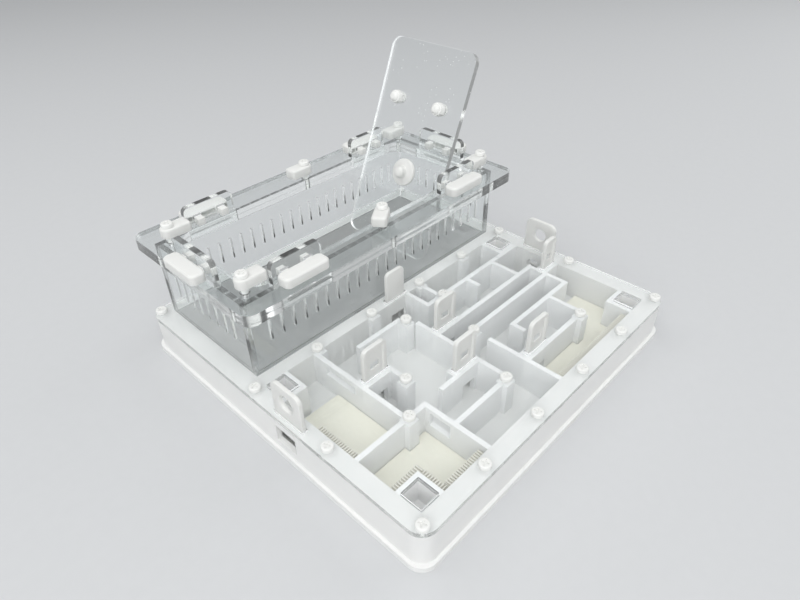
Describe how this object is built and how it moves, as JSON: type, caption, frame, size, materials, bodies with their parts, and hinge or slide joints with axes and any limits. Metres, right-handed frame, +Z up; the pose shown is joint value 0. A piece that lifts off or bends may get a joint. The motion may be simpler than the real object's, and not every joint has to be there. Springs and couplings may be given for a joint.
{
  "type": "ant habitat",
  "caption": "Square ant nest with clear screwed cover, sliding chamber gates and a clear slotted foraging box with bar-locked rim, turn buttons and a loose lid plate.",
  "frame": {"origin": "middle of the nest base's flat underside", "axes": "+Z up, +X along the long side of the foraging box, +Y from the nest half to the foraging box"},
  "size_m": [0.203, 0.2055, 0.1351],
  "materials": {
    "base_print": "layered white print",
    "white_print": "white print",
    "clear_acrylic": "clear cast sheet",
    "nylon": "white nylon",
    "plaster": "cream plaster",
    "comb_mesh": "fine ribbed strip",
    "floor_sheet": "matt grey sheet"
  },
  "bodies": {
    "habitat": {"nest_base": "base_print", "cross_walls": "base_print", "long_walls": "base_print", "screw_posts": "base_print", "gate_guides": "base_print", "water_wells": "base_print", "cover_plate": "clear_acrylic", "cover_screws": "nylon", "side_pad": "plaster", "front_pad": "plaster", "right_pad": "plaster", "well_comb": "comb_mesh", "front_comb": "comb_mesh", "side_comb": "comb_mesh", "right_comb": "comb_mesh", "forage_floor": "floor_sheet", "box_front": "clear_acrylic", "box_back": "clear_acrylic", "box_left": "clear_acrylic", "box_right": "clear_acrylic", "frame_lower": "clear_acrylic", "frame_upper": "clear_acrylic", "button_bushes": "clear_acrylic", "button_screws": "nylon"},
    "gate_forage": {"gate_forage": "white_print"},
    "gate_left": {"gate_left": "white_print"},
    "gate_back": {"gate_back": "white_print"},
    "gate_centre": {"gate_centre": "white_print"},
    "gate_right": {"gate_right": "white_print"},
    "gate_far": {"gate_far": "white_print"},
    "port_plate_left": {"port_plate_left": "white_print"},
    "port_plate_right": {"port_plate_right": "white_print"},
    "bar_front_left": {"bar_front_left": "white_print"},
    "bar_front_right": {"bar_front_right": "white_print"},
    "bar_back_left": {"bar_back_left": "white_print"},
    "bar_back_right": {"bar_back_right": "white_print"},
    "bar_left": {"bar_left": "white_print"},
    "bar_right": {"bar_right": "white_print"},
    "button_front_left": {"button_front_left": "white_print"},
    "button_front_mid": {"button_front_mid": "white_print"},
    "button_front_right": {"button_front_right": "white_print"},
    "button_back_left": {"button_back_left": "white_print"},
    "button_back_mid": {"button_back_mid": "white_print"},
    "button_back_right": {"button_back_right": "white_print"},
    "lid": {"lid_plate": "clear_acrylic", "lid_nuts": "nylon", "lid_bolts": "nylon"},
    "lid_plug": {"lid_plug": "white_print"}
  },
  "joints": [
    {"name": "gate_forage_slide", "type": "slide", "parent": "habitat", "child": "gate_forage", "axis": [0, 0, 1], "range_m": [-0.013, 0]},
    {"name": "gate_left_slide", "type": "slide", "parent": "habitat", "child": "gate_left", "axis": [0, 0, 1], "range_m": [-0.013, 0]},
    {"name": "gate_back_slide", "type": "slide", "parent": "habitat", "child": "gate_back", "axis": [0, 0, 1], "range_m": [-0.013, 0]},
    {"name": "gate_centre_slide", "type": "slide", "parent": "habitat", "child": "gate_centre", "axis": [0, 0, 1], "range_m": [-0.013, 0]},
    {"name": "gate_right_slide", "type": "slide", "parent": "habitat", "child": "gate_right", "axis": [0, 0, 1], "range_m": [-0.013, 0]},
    {"name": "gate_far_slide", "type": "slide", "parent": "habitat", "child": "gate_far", "axis": [0, 0, 1], "range_m": [-0.013, 0]},
    {"name": "port_plate_left_slide", "type": "slide", "parent": "habitat", "child": "port_plate_left", "axis": [0, 0, 1], "range_m": [-0.014, 0]},
    {"name": "port_plate_right_slide", "type": "slide", "parent": "habitat", "child": "port_plate_right", "axis": [0, 0, 1], "range_m": [-0.014, 0]},
    {"name": "bar_front_left_pull", "type": "slide", "parent": "habitat", "child": "bar_front_left", "axis": [0, -1, 0], "range_m": [0, 0.009]},
    {"name": "bar_front_right_pull", "type": "slide", "parent": "habitat", "child": "bar_front_right", "axis": [0, -1, 0], "range_m": [0, 0.009]},
    {"name": "bar_back_left_pull", "type": "slide", "parent": "habitat", "child": "bar_back_left", "axis": [0, 1, 0], "range_m": [0, 0.009]},
    {"name": "bar_back_right_pull", "type": "slide", "parent": "habitat", "child": "bar_back_right", "axis": [0, 1, 0], "range_m": [0, 0.009]},
    {"name": "bar_left_pull", "type": "slide", "parent": "habitat", "child": "bar_left", "axis": [-1, 0, 0], "range_m": [0, 0.009]},
    {"name": "bar_right_pull", "type": "slide", "parent": "habitat", "child": "bar_right", "axis": [1, 0, 0], "range_m": [0, 0.009]},
    {"name": "button_front_left_turn", "type": "hinge", "parent": "habitat", "child": "button_front_left", "pos_m": [-0.0845, 0.021, 0.075], "axis": [0, 0, 1], "continuous": true},
    {"name": "button_front_mid_turn", "type": "hinge", "parent": "habitat", "child": "button_front_mid", "pos_m": [0, 0.0186, 0.075], "axis": [0, 0, 1], "continuous": true},
    {"name": "button_front_right_turn", "type": "hinge", "parent": "habitat", "child": "button_front_right", "pos_m": [0.0845, 0.021, 0.075], "axis": [0, 0, 1], "continuous": true},
    {"name": "button_back_left_turn", "type": "hinge", "parent": "habitat", "child": "button_back_left", "pos_m": [-0.0845, 0.084, 0.075], "axis": [0, 0, 1], "continuous": true},
    {"name": "button_back_mid_turn", "type": "hinge", "parent": "habitat", "child": "button_back_mid", "pos_m": [0.006, 0.0887, 0.075], "axis": [0, 0, 1], "continuous": true},
    {"name": "button_back_right_turn", "type": "hinge", "parent": "habitat", "child": "button_back_right", "pos_m": [0.0845, 0.087, 0.075], "axis": [0, 0, 1], "continuous": true},
    {"name": "lid_lift", "type": "slide", "parent": "habitat", "child": "lid", "axis": [0.3907, 0, 0.9205], "range_m": [0, 0.1]},
    {"name": "lid_plug_pull", "type": "slide", "parent": "lid", "child": "lid_plug", "axis": [-0.9205, 0, 0.3907], "range_m": [0, 0.012]}
  ]
}
